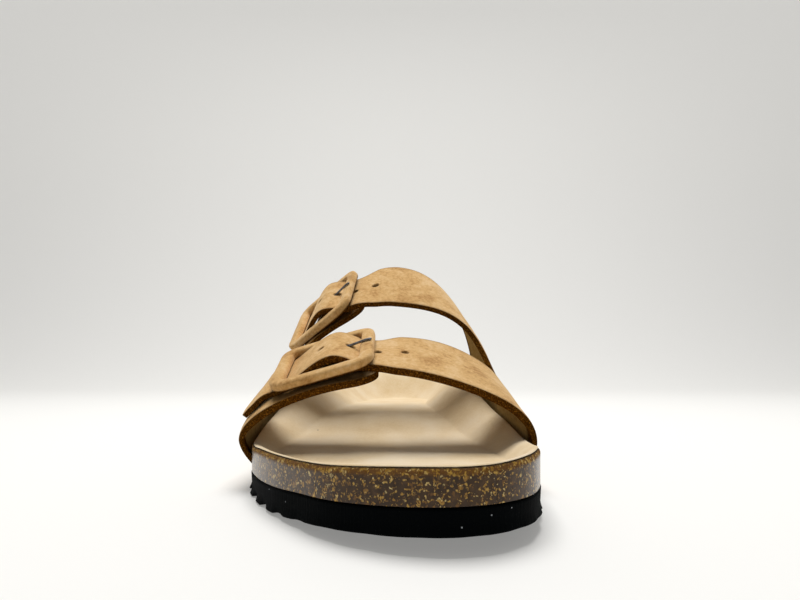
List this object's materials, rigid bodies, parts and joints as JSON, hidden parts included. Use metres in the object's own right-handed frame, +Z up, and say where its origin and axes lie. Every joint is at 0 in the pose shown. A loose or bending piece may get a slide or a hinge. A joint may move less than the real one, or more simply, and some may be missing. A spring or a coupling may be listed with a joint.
{
  "type": "sandal",
  "caption": "Open sandal for the right foot with a contoured cork footbed, suede straps fastened by covered prong buckles and a lugged foam outsole.",
  "frame": {"origin": "middle of the bounding box in plan, on the ground plane under the sole", "axes": "+Y runs from toe to heel, +Z is up, +X is the medial side of this right shoe"},
  "size_m": [0.1128, 0.2686, 0.097],
  "materials": {
    "foam": "matt black foam, finely ribbed at the side",
    "cork": "dark cork with golden flecks, lacquered at its side",
    "cover": "cream suede, soft nap",
    "suede": "tan suede, raw cut edges, pale lining",
    "steel": "dark drawn wire"
  },
  "bodies": {
    "root": {"outsole": "foam", "footbed": "cork", "insole": "cover", "upper_medial": "suede", "upper_lateral": "suede", "buckle_front": "suede", "buckle_rear": "suede", "prong_front": "steel", "prong_rear": "steel"}
  },
  "joints": []
}
